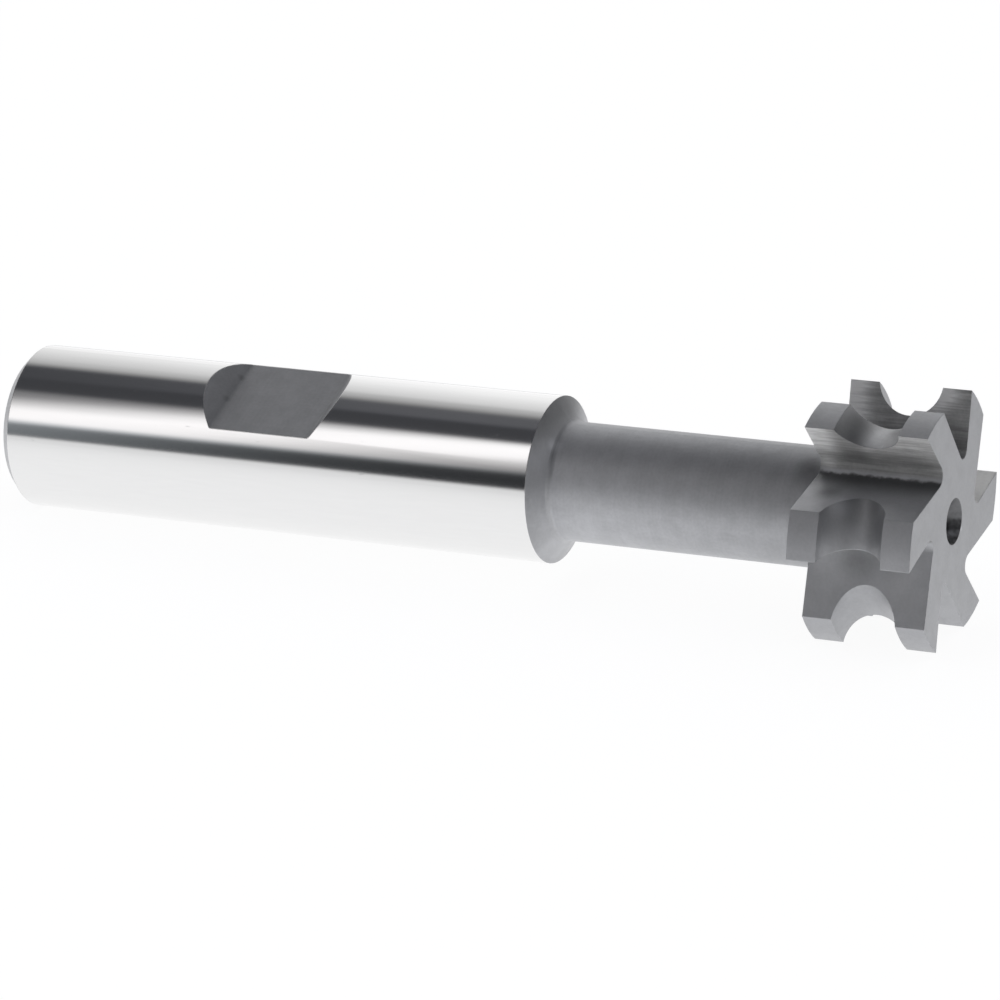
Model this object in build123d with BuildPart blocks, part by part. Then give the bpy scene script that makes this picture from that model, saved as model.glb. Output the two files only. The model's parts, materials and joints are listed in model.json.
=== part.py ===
from build123d import *
import os
from math import cos, radians, sin, tan

# A concave form milling cutter, ground from one bar: a plain round shank with one
# clamping flat, a slimmer neck, and a six-tooth head with a rounded groove across the
# teeth. The cutter's axis lies along X with the head towards +X and +Z up, turned the
# way the cutter lies on a table. The origin is on the axis, midway along the shank
# and under the middle of the clamping flat. Millimetres and degrees.

# Shank
shank_diameter = 12.7
shank_length = 44.9
rear_chamfer = 0.75

# Clamping flat, ground across the shank with sloping ends and rounded inner corners
flat_length = 8.4
flat_height = 4.83
flat_end_slope = 45
flat_corner_radius = 0.3
flat_direction = 111

# Neck and the shoulder that leads down to it
neck_diameter = 9.0
neck_length = 21.95
shoulder_slope = 30
shoulder_fillet = 0.5

# Head and teeth
cutter_diameter = 19.3
head_width = 9.35
teeth = 6
first_tooth_direction = 65.5
land_angle = 22
relief_angle = 10
rake_angle = 9

# Gullets between the teeth
gullet_angle = 55
gullet_root_radius = 0.8

# Rounded groove along the middle of every land, a little less than a half circle
groove_radius = 2.48
groove_depth = 2.1

# Centre hole in the end face
centre_diameter = 3.45
centre_angle = 60
pilot_diameter = 1.6
pilot_length = 1.5
drill_point_angle = 118

# Allowances for the cutting solids only
overshoot = 1

# Places along the axis
shank_radius = shank_diameter / 2
rear_x = -shank_length / 2
shoulder_x = shank_length / 2
head_rear_x = shoulder_x + neck_length
head_front_x = head_rear_x + head_width

# The shoulder's cone, between the shank and the neck
neck_radius = neck_diameter / 2
shoulder_rise = shank_radius - neck_radius
shoulder_run = shoulder_rise * tan(radians(shoulder_slope))
neck_start_x = shoulder_x + shoulder_run

# A tooth's land is turned about an axis beside the cutter's own, so it falls away
# behind the cutting edge. In a tooth's own frame its tip lies on the first axis.
cutter_radius = cutter_diameter / 2
relief_offset = cutter_radius * tan(radians(relief_angle))
form_radius = cutter_radius / cos(radians(relief_angle))
blank_radius = cutter_radius + overshoot
relief_height = blank_radius + relief_offset + overshoot - form_radius
groove_centre = form_radius + groove_radius - groove_depth
tooth_pitch = 360 / teeth
tooth_gap = tooth_pitch - land_angle
relief_sweep = relief_angle + land_angle + tooth_gap / 2


def land_radius(angle):
    """Distance from the cutter's axis to the land, at an angle from the tip."""
    side = relief_offset * sin(radians(angle))
    return side + (cutter_radius**2 + side**2) ** 0.5


# A gullet runs from one tooth's rake face to the next tooth's heel
tip = Vector(cutter_radius, 0)
heel = Vector(land_radius(-land_angle), 0).rotate(Axis.Z, tooth_gap)
rake_line = Vector(1, 0).rotate(Axis.Z, rake_angle)
back_line = Vector(1, 0).rotate(Axis.Z, rake_angle + gullet_angle)
rake_depth = back_line.cross(heel - tip).Z / sin(radians(gullet_angle))
gullet_root = tip - rake_line * rake_depth
gullet_reach = cutter_diameter

# Centre hole, measured inwards from the end face
centre_radius = centre_diameter / 2
pilot_radius = pilot_diameter / 2
cone_depth = (centre_radius - pilot_radius) / tan(radians(centre_angle / 2))
pilot_end_x = head_front_x - cone_depth - pilot_length
drill_point_x = pilot_end_x - pilot_radius / tan(radians(drill_point_angle / 2))

head_plane = Plane.YZ.offset(head_rear_x)
flat_plane = Plane.XY.rotated((flat_direction, 0, 0))

# What the relieving tool takes off one tooth, in the head's own frame: the metal
# outside the land and in the groove, swept behind the cutting edge
with BuildPart() as tooth_relief:
    with BuildSketch(Plane.XZ.offset(-relief_offset)):
        with Locations((form_radius, head_width / 2)):
            Rectangle(
                relief_height,
                head_width + 2 * overshoot,
                align=(Align.MIN, Align.CENTER),
            )
        with Locations((groove_centre, head_width / 2)):
            Circle(groove_radius)
    relief_axis = Axis((0, relief_offset, 0), (0, 0, -1))
    revolve(axis=relief_axis, revolution_arc=relief_sweep)

# One gullet in the head's own frame, with its sharp root rounded
with BuildSketch() as gullet:
    with BuildLine():
        Polyline(
            gullet_root,
            gullet_root + rake_line * gullet_reach,
            gullet_root + back_line * gullet_reach,
            close=True,
        )
    make_face()
    root_corner = gullet.vertices().sort_by_distance(gullet_root)[0]
    fillet(root_corner, gullet_root_radius)

# The cutter itself
with BuildPart() as cutter:
    # Shank, shoulder, neck and the core of the head, turned as one
    with BuildSketch(Plane.XZ):
        with BuildLine():
            Polyline(
                (rear_x, 0),
                (rear_x, shank_radius - rear_chamfer),
                (rear_x + rear_chamfer, shank_radius),
                (shoulder_x, shank_radius),
                (neck_start_x, neck_radius),
                (head_front_x, neck_radius),
                (head_front_x, 0),
                close=True,
            )
        make_face()
    revolve(axis=Axis.X)
    shoulder_root = cutter.edges().sort_by_distance((neck_start_x, 0, neck_radius))[0]
    fillet(shoulder_root, shoulder_fillet)

    # Head blank, then the lands and the groove, then the gullets
    with BuildSketch(head_plane):
        Circle(blank_radius)
    extrude(amount=head_width)
    with Locations(head_plane):
        with PolarLocations(0, teeth, start_angle=first_tooth_direction):
            add(tooth_relief.part, mode=Mode.SUBTRACT)
    with BuildSketch(head_plane):
        with PolarLocations(0, teeth, start_angle=first_tooth_direction):
            add(gullet.sketch)
    extrude(amount=head_width, mode=Mode.SUBTRACT)

    # Clamping flat
    floor_half = flat_length / 2
    wall_height = shank_radius + overshoot - flat_height
    wall_run = wall_height / tan(radians(flat_end_slope))
    with BuildSketch(flat_plane) as flat_gap:
        with BuildLine():
            Polyline(
                (-floor_half, flat_height),
                (floor_half, flat_height),
                (floor_half + wall_run, flat_height + wall_height),
                (-floor_half - wall_run, flat_height + wall_height),
                close=True,
            )
        make_face()
        fillet(flat_gap.vertices().group_by(Axis.Y)[0], flat_corner_radius)
    extrude(amount=shank_diameter, both=True, mode=Mode.SUBTRACT)

    # Centre hole in the end face
    with BuildSketch(Plane.XZ):
        with BuildLine():
            Polyline(
                (head_front_x, 0),
                (head_front_x, centre_radius),
                (head_front_x - cone_depth, pilot_radius),
                (pilot_end_x, pilot_radius),
                (drill_point_x, 0),
                close=True,
            )
        make_face()
    revolve(axis=Axis.X, mode=Mode.SUBTRACT)

cutter.part.label = "cutter"

os.makedirs("parts", exist_ok=True)
export_step(cutter.part, "parts/cutter.step")
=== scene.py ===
import json
from math import atan2, cos, pi, radians, sin, tan
from types import SimpleNamespace

import bpy
from mathutils import Matrix, Quaternion, Vector


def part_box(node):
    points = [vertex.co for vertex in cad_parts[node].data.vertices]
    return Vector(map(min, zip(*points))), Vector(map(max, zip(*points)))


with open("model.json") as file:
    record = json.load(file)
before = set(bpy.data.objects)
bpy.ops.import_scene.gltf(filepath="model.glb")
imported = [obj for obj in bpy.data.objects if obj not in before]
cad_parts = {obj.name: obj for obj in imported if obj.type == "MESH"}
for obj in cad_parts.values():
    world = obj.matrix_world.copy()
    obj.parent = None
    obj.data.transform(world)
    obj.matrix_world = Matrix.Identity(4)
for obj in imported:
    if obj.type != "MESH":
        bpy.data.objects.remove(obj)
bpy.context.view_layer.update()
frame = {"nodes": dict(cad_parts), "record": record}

MM = 0.001
cutter = frame["nodes"]["cutter"]
lowest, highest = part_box("cutter")
mounts = {mount["name"]: mount for mount in frame["record"]["mounts"]}

# Places on the cutter, along its axis and out from it
shank_radius = mounts["shank"]["dims"]["r_mm"] * MM
rear_chamfer = 0.75 * MM
head_width = 9.35 * MM
groove_floor_radius = 6.6 * MM
groove_lip_radius = 8.2 * MM
bore_radius = 1.725 * MM
edge = 0.01 * MM
rear_x = lowest.x
rim_x = rear_x + rear_chamfer
shoulder_x = -rear_x
head_front_x = highest.x
head_rear_x = head_front_x - head_width

# How bright the shank and the neck are
shank_tone = 0.84
chamfer_tone = 0.42
flat_tone = 0.49
flat_rear_tone = 0.55
flat_front_tone = 0.4
neck_rear_tone = 0.58
neck_front_shade_tone = 0.45
cone_tone = 0.66
cone_top_shade_tone = 0.34
ring_highlight_tone = 0.56

# How bright the head is
head_tone = 0.485
head_low_shade_tone = 0.455
end_tone = 0.465
nick_glint_tone = 0.7
groove_rear_tone = 0.43
groove_low_tone = 0.41
groove_tone = 0.36
groove_high_shade_tone = 0.3
rake_root_tone = 0.6
rake_tip_highlight_tone = 0.92
hollow_tone = 0.58
far_root_tone = 0.47
far_tip_tone = 0.58
bore_low_shade_tone = 0.15
bore_shade_tone = 0.2
bore_highlight_tone = 0.42
root_reflection_tone = 0.15
worn_tone = 0.65

# How rough each place is
shank_rough = 0.12
speck_rough = 0.22
chamfer_rough = 0.4
neck_rough = 0.66
cone_rough = 0.55
head_rough = 0.6
groove_rough = 0.57
groove_high_rough = 0.45
rake_rough = 0.9
far_rough = 0.5

# Painted shade on the flat: along the inner corners at its ends, and darkest at two places
crease_x = 4.3 * MM
crease_shade = 0.22
crease_shade_spots = (Vector((-4.4, 0.32, 5.3)) * MM, Vector((-4.4, -2.23, 4.32)) * MM)
crease_shade_share = 0.66

# A painted glint at a nick beside the centre hole, a painted highlight band across the hole,
# a pale place at the upper tooth's tip, and a painted dark reflection across the upper teeth
nick_glint = Vector((head_front_x, 1.53 * MM, -1.01 * MM))
bore_highlight_z = -1.2 * MM
pale_tip = Vector((51.4, 3.9, 8.6)) * MM
pale_tip_share = 1.9
dark_reflection_x = 47.2 * MM
dark_reflection_share = 0.62

# Painted shade and highlights, such as the shadow on the neck beside the head: the middle,
# the reach, and what the tone is multiplied by in the middle
shade_and_highlight_patches = (
    (Vector((43.9, -2.6, 3.7)) * MM, 2.1 * MM, 0.55),
    (Vector((48.2, -4.9, -2.0)) * MM, 2.0 * MM, 0.72),
    (Vector((46.1, -5.5, 3.1)) * MM, 1.5 * MM, 0.55),
    (Vector((48.0, -7.4, 2.9)) * MM, 1.5 * MM, 1.7),
    (Vector((23.4, -3.0, 3.6)) * MM, 0.8 * MM, 1.35),
    (Vector((44.8, -2.2, 4.4)) * MM, 1.3 * MM, 1.6),
)

# The floor under the cutter: it touches the shank's rear rim and the teeth's rear corners
rim_z = -shank_radius
teeth_z = lowest.z
floor_pitch = atan2(rim_z - teeth_z, head_rear_x - rim_x)
floor_half = 3.0
floor_white = 1.04
floor_cover = 0.88

# Camera
camera_azimuth = -24.99
camera_elevation = 17.61
camera_roll = -1.815
camera_target = Vector((17.794, -0.667, -1.903)) * MM
camera_distance = 356.86 * MM
camera_lens = 169.92
camera_clip = (0.02, 20)

# Softbox on the camera's left, with a bright strip that leans across it, and soft
# upper and lower ends
softbox_azimuth = -145.86
softbox_elevation = 36.7
softbox_distance = 0.6
softbox_width = 0.36
softbox_low = -0.45
softbox_high = 0.265
softbox_colour = (1, 0.98, 0.98, 1)
lower_colour = (0.88, 0.95, 1, 1)
upper_fade = (0.165, 0.25)
lower_fade = (-0.265, -0.155)
lower_left_share = 0.22
lower_right_share = 0.08
lower_left_edge = -0.09
strip_lean = 63.5
strip_shift = 0.013
strip_reach = 0.13
strip_glow = 1.6
strip_falloff = 1.5
strip_limit = 1.18
diffuser_glow = 0.16

# Studio around it: a dim ceiling, a white backdrop behind that starts overhead, and a
# pale wall on the camera's right
backdrop_edge = 112
backdrop_low = 0.6
backdrop_high = 1.2
backdrop_right = 0.06
valance_left = 0.56
valance_right = 0.42
overhead_left = 0.012
overhead_right = 0.08
ceiling_glow = 0.065
front_glow = 0.02
side_glow = 0.3
dim_colour = (0.73, 0.745, 0.82, 1)
bright_colour = (0.8, 0.8, 0.8, 1)


def direction(azimuth, elevation):
    """The way to look, from an azimuth right of +Y and an elevation above the floor."""
    a, e = radians(azimuth), radians(elevation)
    return Vector((sin(a) * cos(e), cos(a) * cos(e), -sin(e)))


def make_camera():
    data = bpy.data.cameras.new("camera")
    data.lens = camera_lens
    data.clip_start, data.clip_end = camera_clip
    camera = bpy.data.objects.new("camera", data)
    bpy.context.scene.collection.objects.link(camera)
    look = direction(camera_azimuth, camera_elevation)
    camera.location = camera_target - look * camera_distance
    upright = look.to_track_quat("-Z", "Y")
    camera.rotation_mode = "QUATERNION"
    camera.rotation_quaternion = upright @ Quaternion((0, 0, 1), radians(camera_roll))
    bpy.context.scene.camera = camera


class Shader:
    """A node tree that is written as formulas: each method adds nodes and gives an output."""

    def __init__(self, tree):
        self.tree = tree

    def node(self, kind, **settings):
        made = self.tree.nodes.new(kind)
        for name, value in settings.items():
            setattr(made, name, value)
        return made

    def join(self, value, socket):
        if isinstance(value, bpy.types.NodeSocket):
            self.tree.links.new(value, socket)
        elif value is not None:
            socket.default_value = value

    def split(self, value):
        made = self.node("ShaderNodeSeparateXYZ")
        self.join(value, made.inputs[0])
        return made.outputs

    def calc(self, operation, a, b=None, c=None):
        made = self.node("ShaderNodeMath", operation=operation)
        for value, socket in zip((a, b, c), made.inputs):
            self.join(value, socket)
        return made.outputs[0]

    def product(self, first, *others):
        for other in others:
            first = self.calc("MULTIPLY", first, other)
        return first

    def largest(self, first, *others):
        for other in others:
            first = self.calc("MAXIMUM", first, other)
        return first

    def without(self, *masks):
        """1 where every mask is 0, and 0 where any of them is 1."""
        return self.calc("SUBTRACT", 1, self.largest(*masks))

    def vector(self, operation, a, b=None):
        made = self.node("ShaderNodeVectorMath", operation=operation)
        self.join(a, made.inputs[0])
        self.join(b, made.inputs[1])
        return made.outputs["Value" if operation in ("DOT_PRODUCT", "LENGTH") else "Vector"]

    def map_range(self, kind, parts):
        made = self.node("ShaderNodeMapRange", interpolation_type=kind)
        for name, part in zip(("Value", "From Min", "From Max", "To Min", "To Max"), parts):
            self.join(part, made.inputs[name])
        return made.outputs["Result"]

    def ramp(self, value, low, high, start=0.0, end=1.0):
        """A smooth step from start at low to end at high."""
        return self.map_range("SMOOTHSTEP", (value, low, high, start, end))

    def line(self, value, low, high, start=0.0, end=1.0):
        """A straight ramp from start at low to end at high."""
        return self.map_range("LINEAR", (value, low, high, start, end))

    def beside(self, value, middle, near, far):
        """1 within near of a middle value, and 0 from far beyond it."""
        gap = self.calc("ABSOLUTE", self.calc("SUBTRACT", value, middle))
        return self.ramp(gap, near, far, 1, 0)

    def around(self, position, middle, reach, start, end):
        """A smooth step from start at a point to end at its reach."""
        gap = self.vector("LENGTH", self.vector("SUBTRACT", position, middle))
        return self.ramp(gap, 0, reach, start, end)

    def noise(self, position, scale, detail):
        """Noise from 0 to 1, with its cells stretched by three scales."""
        made = self.node("ShaderNodeTexNoise")
        self.join(self.vector("MULTIPLY", position, scale), made.inputs["Vector"])
        made.inputs["Scale"].default_value = 1
        made.inputs["Detail"].default_value = detail
        return made.outputs["Fac"]

    def polar(self, x, y, z, radius):
        """Along the axis, round it from the underside, and out from it."""
        made = self.node("ShaderNodeCombineXYZ")
        for value, socket in zip((x, self.calc("ARCTAN2", y, z), radius), made.inputs):
            self.join(value, socket)
        return made.outputs[0]

    def mix(self, share, a, b):
        """A number between a and b."""
        made = self.node("ShaderNodeMix", data_type="FLOAT")
        for value, socket in zip((share, a, b), (made.inputs[0], made.inputs[2], made.inputs[3])):
            self.join(value, socket)
        return made.outputs[0]

    def blend(self, share, a, b):
        """A colour between a and b."""
        made = self.node("ShaderNodeMix", data_type="RGBA")
        for value, socket in zip((share, a, b), (made.inputs[0], made.inputs[6], made.inputs[7])):
            self.join(value, socket)
        return made.outputs[2]


def new_material(name):
    material = bpy.data.materials.new(name)
    material.use_nodes = True
    material.node_tree.nodes.clear()
    return material, Shader(material.node_tree)


def measures(s):
    """Where a point of the surface is, and which way the surface faces there."""
    coordinates = s.node("ShaderNodeTexCoord")
    position, normal = coordinates.outputs["Object"], coordinates.outputs["Normal"]
    across = s.vector("MULTIPLY", position, (0, 1, 1))
    forward = s.vector("CROSS_PRODUCT", (1, 0, 0), s.vector("NORMALIZE", across))
    at = SimpleNamespace(position=position)
    at.x, at.y, at.z = s.split(position)
    at.radius = s.vector("LENGTH", across)
    at.turned = s.vector("DOT_PRODUCT", normal, forward)
    at.facing_x = s.split(normal)[0]
    at.sideways = s.calc("ABSOLUTE", at.facing_x)
    return at


def add_shank_places(s, at):
    """The shank's polished wall, the clamping flat and the rear chamfer."""
    before_shoulder = s.ramp(at.x, shoulder_x - edge, shoulder_x + edge, 1, 0)
    past_chamfer = s.ramp(at.x, rim_x - edge, rim_x + edge)
    outside = s.ramp(at.radius, shank_radius - 5 * edge, shank_radius - 3 * edge)
    shank = s.product(before_shoulder, past_chamfer)
    at.polished = s.product(shank, outside)
    at.flat = s.calc("SUBTRACT", shank, at.polished)
    at.chamfer = s.ramp(at.x, rim_x - edge, rim_x + edge, 1, 0)


def add_shoulder_places(s, at):
    """The shoulder's cone, and a ring of painted highlight where its upper side meets the neck."""
    past_shank = s.ramp(at.x, shoulder_x - edge, shoulder_x + edge)
    before_neck = s.ramp(at.x, shoulder_x + 2 * MM, shoulder_x + 3 * MM, 1, 0)
    at.cone = s.product(past_shank, s.ramp(at.sideways, 0.2, 0.5), before_neck)
    bent = s.product(s.ramp(at.sideways, 0.4, 0.55), s.ramp(at.sideways, 0.78, 0.85, 1, 0))
    at.ring = s.product(bent, s.ramp(at.z, 1.5 * MM, 3 * MM))


def add_head_places(s, at):
    """The head's end faces, centre hole, rake faces and rounded groove."""
    at.head = s.ramp(at.x, head_rear_x - 2 * edge, head_rear_x - edge)
    front = s.ramp(at.x, head_front_x - 2 * edge, head_front_x - edge)
    back = s.ramp(at.x, head_rear_x - edge, head_rear_x + edge, 1, 0)
    at.ends = s.product(s.calc("ADD", front, back), at.head)
    at.bore = s.product(at.head, s.ramp(at.radius, bore_radius - edge / 2, bore_radius + 5 * edge / 2, 1, 0))
    at.rake = s.product(at.head, s.ramp(at.turned, 0.3, 0.8))
    cut = s.ramp(at.radius, groove_floor_radius - 10 * edge, groove_floor_radius + 10 * edge)
    cut = s.product(at.head, s.without(at.ends), cut, s.beside(at.turned, 0, 0.2, 0.24))
    below_lip = s.ramp(at.radius, groove_lip_radius - 10 * edge, groove_lip_radius + 10 * edge, 1, 0)
    at.groove = s.product(cut, s.largest(s.ramp(at.sideways, 0.04, 0.12), below_lip))


def add_gullet_places(s, at):
    """The hollow beside each root, the far tooth's face, and one painted dark reflection."""
    hollow = s.product(s.ramp(at.radius, 5.2 * MM, 5.5 * MM, 1, 0), s.ramp(at.turned, -0.1, 0.3))
    at.hollow = s.product(hollow, at.head, s.without(at.ends, at.bore))
    far = s.product(s.ramp(at.y, 2.8 * MM, 3.8 * MM), s.beside(at.z, 0, 2.5 * MM, 3.5 * MM))
    at.far = s.product(far, s.largest(at.rake, at.hollow))
    # Painted dark reflection across the upper teeth's rake faces and grooves
    smoked = s.product(s.beside(at.x, dark_reflection_x, 0.3 * MM, 1.8 * MM), s.ramp(at.z, 4.2 * MM, 5.2 * MM))
    smoked = s.product(smoked, s.ramp(at.y, -2 * MM, 0, 1, 0.4))
    at.smoked = s.product(smoked, s.largest(at.rake, at.groove))


def add_marks(s, at):
    """Marks along the axis from grinding, rings from turning, and softer stains."""
    at.lengthwise = s.noise(at.position, (350, 5200, 5200), 4)
    at.wide_streak = s.noise(at.position, (150, 1400, 1400), 2)
    at.grain = s.noise(at.position, (4500, 4500, 4500), 2)
    at.mottle = s.noise(at.position, (700, 700, 700), 3)
    at.speck = s.noise(at.position, (1100, 2600, 2600), 1)
    at.dapple = s.noise(at.position, (2200, 2600, 2600), 3)
    at.stain = s.noise(at.position, (1800, 1800, 1800), 1)
    at.rings = s.noise(s.polar(at.x, at.y, at.z, at.radius), (4000, 0.05, 500), 3)


def add_root_reflection(s, at):
    """Painted dark reflection: a ragged line along the root of the upper gullet."""
    ragged = s.calc("MULTIPLY_ADD", s.calc("SUBTRACT", at.dapple, 0.5), 0.8, at.turned)
    line = s.product(s.ramp(at.turned, -0.83, -0.54), s.ramp(ragged, -0.15, 0.32, 1, 0))
    line = s.product(line, s.ramp(at.z, 0, 2.5 * MM), s.ramp(at.y, -1 * MM, 1 * MM, 1, 0))
    line = s.product(line, at.head, s.ramp(at.radius, 5.4 * MM, 7.4 * MM, 1, 0))
    at.root = s.product(line, s.without(at.ends), s.without(at.bore))


def add_wear_and_highlight(s, at, bevel):
    """Sharp edges of the head, rubbed a little brighter, which also paints highlights along them."""
    bend = s.vector("DOT_PRODUCT", bevel, s.node("ShaderNodeNewGeometry").outputs["Normal"])
    worn = s.product(s.ramp(bend, 0.75, 0.97, 0.6, 0), s.ramp(at.mottle, 0.35, 0.6, 0.3, 1))
    at.worn = s.product(worn, at.head)


def paint_neck(s, at):
    """Painted shade darkens it towards the head, and it is a little paler on top."""
    along = s.line(at.x, shoulder_x, head_rear_x, neck_rear_tone, neck_front_shade_tone)
    return s.product(along, s.ramp(at.z, 0, 3 * MM, 1, 1.07))


def paint_shoulder(s, at):
    """The cone has painted shade at the top, is darker low on its side and a little darker outwards, and the
    ring is a painted highlight.
    """
    low_share = s.ramp(at.z, -4.5 * MM, -2.5 * MM, 0.8, 0.67)
    sloped = s.ramp(at.z, 3.5 * MM, 5.5 * MM, cone_tone, cone_top_shade_tone)
    sloped = s.product(sloped, s.ramp(at.z, 1.2 * MM, 3.2 * MM, low_share, 1.05))
    sloped = s.product(sloped, s.ramp(at.radius, 4.9 * MM, 6.2 * MM, 1, 0.9))
    return s.mix(at.ring, sloped, ring_highlight_tone)


def paint_groove(s, at):
    """The groove's front wall is darker than its rear wall, and painted shade makes it darker still on the
    upper teeth.
    """
    upper_wall = s.ramp(at.z, 2 * MM, 5 * MM, groove_tone, groove_high_shade_tone)
    front_wall = s.ramp(at.z, -4.5 * MM, -3 * MM, groove_low_tone, upper_wall)
    walls = s.ramp(at.facing_x, -0.3, 0.15, front_wall, groove_rear_tone)
    return s.product(walls, s.ramp(at.z, -5 * MM, -3.5 * MM, 1.04, 1))


def paint_rake(s, at):
    """Ground streaks along the rake faces, with painted highlights that make them paler outwards and to the
    rear.
    """
    streaked = s.calc("MULTIPLY_ADD", s.calc("SUBTRACT", at.wide_streak, 0.5), 2.5 * MM, at.radius)
    pale_radius = s.ramp(at.x, 48 * MM, 49.5 * MM, 7.3 * MM, 8.3 * MM)
    honed = s.ramp(streaked, 5.5 * MM, pale_radius, rake_root_tone, rake_tip_highlight_tone)
    honed = s.product(honed, s.line(at.x, head_rear_x, head_front_x, 1.05, 0.75))

    # The upper tooth at the back has a painted highlight near its root, and is darker outwards
    inner = s.ramp(at.radius, 6 * MM, 7.5 * MM, 1, 0)
    inner_gain = s.ramp(at.x, 50 * MM, 51.5 * MM, 0.36, 0)
    standing = s.calc("MULTIPLY_ADD", inner, inner_gain, s.ramp(at.x, 45 * MM, 46.5 * MM, 1.12, 0.84))
    honed = s.product(honed, s.mix(s.ramp(at.y, -1 * MM, 1 * MM), 1, standing))
    return s.product(honed, s.around(at.position, pale_tip, 2.4 * MM, pale_tip_share, 1))


def paint_flat(s, at):
    """The flat's floor and its two sloping ends, with painted shade in the corners between them."""
    slopes = s.ramp(at.x, -1 * MM, 1 * MM, flat_rear_tone, flat_front_tone)
    clean = s.mix(s.ramp(at.sideways, 0.1, 0.6), flat_tone, slopes)
    # Painted shade along the inner corners, darkest around the two spots
    flat_shade = s.product(s.beside(s.calc("ABSOLUTE", at.x), crease_x, 0.05 * MM, 0.5 * MM), crease_shade)
    for place in crease_shade_spots:
        flat_shade = s.largest(flat_shade, s.around(at.position, place, 0.6 * MM, 1, 0))
    return s.product(clean, s.mix(flat_shade, 1, crease_shade_share))


def paint_bore(s, at):
    """The centre hole: painted shade inside, with one painted highlight band across it and stains below the
    middle.
    """
    # A painted highlight band across the hole, over painted shade that is darkest in its lower part
    band = s.product(s.beside(at.z, bore_highlight_z, 0, 0.45 * MM), bore_highlight_tone)
    dark = s.largest(s.ramp(at.z, -0.5 * MM, 0.1 * MM, bore_low_shade_tone, bore_shade_tone), band)
    stains = s.ramp(at.stain, 0.35, 0.65, 0.6, 1.4)
    return s.product(dark, s.mix(s.ramp(at.z, -0.3 * MM, 0.3 * MM), stains, 1))


def steel_tone(s, at):
    """How bright each place is."""
    # Painted shade: the lower teeth are darker
    head = s.ramp(at.z, -8 * MM, -3 * MM, head_low_shade_tone, head_tone)
    tone = s.mix(at.head, paint_neck(s, at), head)
    tone = s.mix(at.cone, tone, paint_shoulder(s, at))
    tone = s.mix(at.groove, tone, paint_groove(s, at))
    # Painted glint: the end face is paler around the nick beside the centre hole
    tone = s.mix(at.ends, tone, s.around(at.position, nick_glint, 0.3 * MM, nick_glint_tone, end_tone))
    tone = s.mix(at.rake, tone, paint_rake(s, at))
    tone = s.mix(at.hollow, tone, hollow_tone)
    tone = s.mix(at.far, tone, s.ramp(at.radius, 5 * MM, 8.5 * MM, far_root_tone, far_tip_tone))
    # Painted dark reflection across the upper teeth
    tone = s.product(tone, s.mix(at.smoked, 1, dark_reflection_share))
    # Painted shade and painted highlights in patches
    for middle, reach, share in shade_and_highlight_patches:
        tone = s.product(tone, s.around(at.position, middle, reach, share, 1))
    tone = s.mix(at.flat, tone, paint_flat(s, at))
    tone = s.mix(at.chamfer, tone, chamfer_tone)
    tone = s.mix(at.bore, tone, paint_bore(s, at))

    # Marks over it: stains, streaks that show most on the rake faces, and turning marks
    streaky = s.calc("SUBTRACT", at.rake, at.far)
    dark_streak = s.mix(streaky, 0.995, 0.88)
    pale_streak = s.mix(streaky, 1.005, 1.12)
    tone = s.product(tone, s.ramp(at.mottle, 0.3, 0.7, 0.96, 1.04))
    tone = s.product(tone, s.ramp(at.lengthwise, 0.3, 0.7, dark_streak, pale_streak))
    # Painted dark reflection along the root of the upper gullet
    tone = s.mix(at.root, tone, root_reflection_tone)
    # Edge wear and painted edge highlights
    tone = s.mix(at.worn, tone, worn_tone)
    tone = s.product(tone, s.mix(at.head, s.ramp(at.rings, 0.3, 0.7, 0.985, 1.015), 1))
    return s.mix(at.polished, tone, s.ramp(at.lengthwise, 0.3, 0.7, shank_tone - 0.005, shank_tone + 0.005))


def steel_colour(s, at, tone):
    """A cool grey, but neutral on the polished and the honed faces."""
    neutral = s.largest(at.polished, at.rake)
    colour = s.node("ShaderNodeCombineColor")
    for gain, socket in zip((1, 1.012, 1.052), colour.inputs):
        s.join(s.product(tone, s.mix(neutral, gain, 1)), socket)
    return colour.outputs[0]


def steel_roughness(s, at):
    """A satin finish with fine grain, and a few duller specks on the polished wall."""
    rough = s.mix(at.head, s.mix(at.cone, neck_rough, cone_rough), head_rough)
    rough = s.mix(at.groove, rough, s.ramp(at.z, 2 * MM, 5 * MM, groove_rough, groove_high_rough))
    rough = s.mix(at.rake, rough, rake_rough)
    rough = s.mix(at.far, rough, far_rough)
    rough = s.mix(at.chamfer, rough, chamfer_rough)
    rough = s.calc("ADD", rough, s.ramp(at.grain, 0.3, 0.7, -0.04, 0.04))
    return s.mix(at.polished, rough, s.ramp(at.speck, 0.76, 0.8, shank_rough, speck_rough))


def steel_relief(s, at, bevel):
    """Fine grain on all but the polished wall, and grinding lines on rake faces and the flat."""
    ground = s.largest(at.rake, at.flat)
    height = s.calc("MULTIPLY_ADD", at.lengthwise, ground, at.grain)
    bump = s.node("ShaderNodeBump")
    bump.inputs["Distance"].default_value = 0.004 * MM
    s.join(bevel, bump.inputs["Normal"])
    s.join(s.product(s.without(at.polished), height), bump.inputs["Height"])
    return bump.outputs[0]


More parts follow.
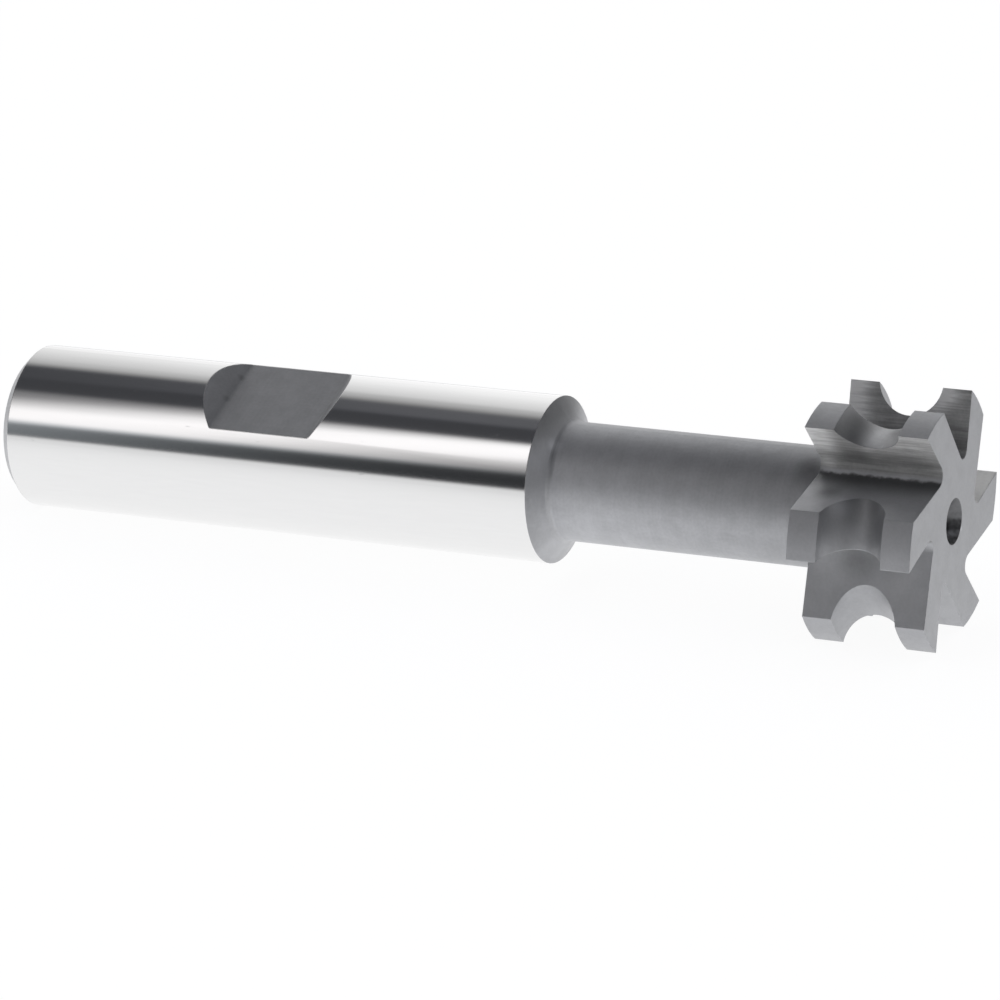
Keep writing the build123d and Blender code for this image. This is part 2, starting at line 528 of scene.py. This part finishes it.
def ground_steel():
    """Tool steel: a mirror-polished shank, with satin and ground faces everywhere else."""
    material, s = new_material("ground_steel")
    rounded = s.node("ShaderNodeBevel")
    rounded.inputs["Radius"].default_value = 0.1 * MM
    bevel = rounded.outputs[0]
    at = measures(s)
    add_shank_places(s, at)
    add_shoulder_places(s, at)
    add_head_places(s, at)
    add_gullet_places(s, at)
    add_marks(s, at)
    add_root_reflection(s, at)
    add_wear_and_highlight(s, at, bevel)

    shader = s.node("ShaderNodeBsdfPrincipled")
    shader.inputs["Metallic"].default_value = 1.0
    shader.inputs["Coat Roughness"].default_value = 0.35
    s.join(s.mix(at.polished, 0.5, 0), shader.inputs["Coat Weight"])
    s.join(steel_colour(s, at, steel_tone(s, at)), shader.inputs["Base Color"])
    s.join(steel_roughness(s, at), shader.inputs["Roughness"])
    s.join(steel_relief(s, at, bevel), shader.inputs["Normal"])
    output = s.node("ShaderNodeOutputMaterial")
    s.join(shader.outputs[0], output.inputs[0])
    return material


def mirrored_floor(s):
    """How bright the floor looks in the steel: dark in front, and palest far behind."""
    y = s.split(s.node("ShaderNodeTexCoord").outputs["Object"])[1]
    glow = s.line(s.calc("ABSOLUTE", y), 0.0, 0.06, 1.08, 0.84)
    glow = s.calc("ADD", glow, s.line(y, 0.08, 0.4, 0, 0.5))
    return s.product(glow, s.ramp(y, -0.36, -0.1, 0.1, 1))


def white_table():
    """A white floor that keeps part of the cutter's shadow."""
    material, s = new_material("white_table")
    light_path = s.node("ShaderNodeLightPath")
    rays = ("Is Camera Ray", "Is Glossy Ray", "Is Transmission Ray")
    seen = s.largest(*(light_path.outputs[ray] for ray in rays))
    diffuse = s.node("ShaderNodeBsdfDiffuse")
    diffuse.inputs["Color"].default_value = (0.9, 0.9, 0.9, 1)
    glow = s.node("ShaderNodeEmission")
    glow.inputs["Color"].default_value = (1, 1, 1, 1)
    strength = s.mix(light_path.outputs["Is Glossy Ray"], floor_white, mirrored_floor(s))
    s.join(strength, glow.inputs["Strength"])
    mixed = s.node("ShaderNodeMixShader")
    s.join(s.product(seen, floor_cover), mixed.inputs[0])
    s.join(diffuse.outputs[0], mixed.inputs[1])
    s.join(glow.outputs[0], mixed.inputs[2])
    output = s.node("ShaderNodeOutputMaterial")
    s.join(mixed.outputs[0], output.inputs[0])
    return material


def make_floor():
    mesh = bpy.data.meshes.new("floor")
    low_x, high_x = rim_x - floor_half, rim_x + floor_half
    corners = []
    for x, y in ((low_x, -floor_half), (high_x, -floor_half), (high_x, floor_half), (low_x, floor_half)):
        corners.append((x, y, rim_z - (x - rim_x) * tan(floor_pitch)))
    mesh.from_pydata(corners, [], [(0, 1, 2, 3)])
    floor = bpy.data.objects.new("floor", mesh)
    bpy.context.scene.collection.objects.link(floor)
    mesh.materials.append(white_table())


def backdrop_glow(s, toward, x):
    """The backdrop behind the cutter: its upper edge comes further forward on the right."""
    tilt = radians(backdrop_edge)
    lean = s.vector("DOT_PRODUCT", toward, (0, sin(tilt), cos(tilt)))
    lean = s.calc("ADD", lean, s.line(x, -0.49, -0.39, 0, 0.1))
    valance = s.line(x, -0.49, -0.42, valance_left, valance_right)
    glow = s.product(s.ramp(lean, -0.09, 0.13), s.mix(s.ramp(lean, 0.16, 0.27), valance, backdrop_low))
    glow = s.calc("ADD", glow, s.line(lean, 0.1, 0.72, 0, backdrop_high - backdrop_low))
    return s.product(glow, s.ramp(x, -0.35, 0.4, 1, backdrop_right))


def make_world():
    world = bpy.data.worlds.new("studio")
    bpy.context.scene.world = world
    world.use_nodes = True
    world.node_tree.nodes.clear()
    s = Shader(world.node_tree)
    toward = s.node("ShaderNodeTexCoord").outputs["Generated"]
    x, y, z = s.split(toward)

    # The ceiling is a little brighter behind the cutter, and the front is darkest
    glow = s.ramp(z, 0.4, 0.8, front_glow, ceiling_glow)
    overhead = s.product(s.ramp(y, -0.12, 0), s.line(x, -0.49, -0.42, overhead_left, overhead_right))
    side = s.product(s.ramp(x, 0, 0.5, 0, side_glow), s.ramp(z, 0.2, 0.6, 1, 0))
    for other in (overhead, side, backdrop_glow(s, toward, x)):
        glow = s.calc("ADD", glow, other)

    light_path = s.node("ShaderNodeLightPath")
    background = s.node("ShaderNodeBackground")
    s.join(s.blend(s.ramp(glow, 0.08, 0.3), dim_colour, bright_colour), background.inputs["Color"])
    s.join(s.mix(light_path.outputs["Is Glossy Ray"], 1.0, glow), background.inputs["Strength"])
    output = s.node("ShaderNodeOutputWorld")
    s.join(background.outputs[0], output.inputs[0])


def softbox_emission(s, centre, across, up):
    """A glow that falls away from a leaning strip, and fades at the upper and lower ends."""
    place = s.vector("SUBTRACT", s.node("ShaderNodeNewGeometry").outputs["Position"], centre)
    sideways = across * sin(radians(strip_lean)) - up * cos(radians(strip_lean))
    offset = s.calc("SUBTRACT", s.vector("DOT_PRODUCT", place, sideways), strip_shift)
    away = s.calc("DIVIDE", s.calc("ABSOLUTE", offset), strip_reach)
    near = s.calc("MAXIMUM", s.calc("SUBTRACT", 1, away), 0)
    glow = s.calc("MULTIPLY_ADD", s.calc("POWER", near, strip_falloff), strip_glow, diffuser_glow)
    glow = s.calc("MINIMUM", glow, strip_limit)

    rise = s.vector("DOT_PRODUCT", place, up)
    lower = s.ramp(rise, *lower_fade)
    side = s.vector("DOT_PRODUCT", place, across)
    share = s.line(side, lower_left_edge, 0, lower_left_share, lower_right_share)
    fade = s.product(s.ramp(rise, *upper_fade, 1, 0), s.mix(lower, share, 1))
    emission = s.node("ShaderNodeEmission")
    s.join(s.blend(lower, lower_colour, softbox_colour), emission.inputs["Color"])
    s.join(s.product(glow, fade), emission.inputs["Strength"])
    return emission.outputs[0]


def make_softbox():
    height = softbox_high - softbox_low
    middle = (softbox_high + softbox_low) / 2
    data = bpy.data.lights.new("softbox", "AREA")
    data.shape = "RECTANGLE"
    data.size, data.size_y = softbox_width, height
    data.energy = pi * softbox_width * height
    lamp = bpy.data.objects.new("softbox", data)
    bpy.context.scene.collection.objects.link(lamp)
    out = -direction(softbox_azimuth + 180, softbox_elevation)
    across = (Vector((1, 0, 0)) - out * out.x).normalized()
    up = out.cross(across)
    centre = out * softbox_distance
    lamp.location = centre + up * middle
    lamp.rotation_mode = "QUATERNION"
    lamp.rotation_quaternion = Matrix((across, up, out)).transposed().to_quaternion()
    lamp.visible_camera = False

    data.use_nodes = True
    data.node_tree.nodes.clear()
    s = Shader(data.node_tree)
    output = s.node("ShaderNodeOutputLight")
    s.join(softbox_emission(s, centre, across, up), output.inputs[0])


cutter.data.materials.clear()
cutter.data.materials.append(ground_steel())
make_floor()
make_world()
make_camera()
make_softbox()

bpy.context.scene.view_settings.view_transform = "Standard"
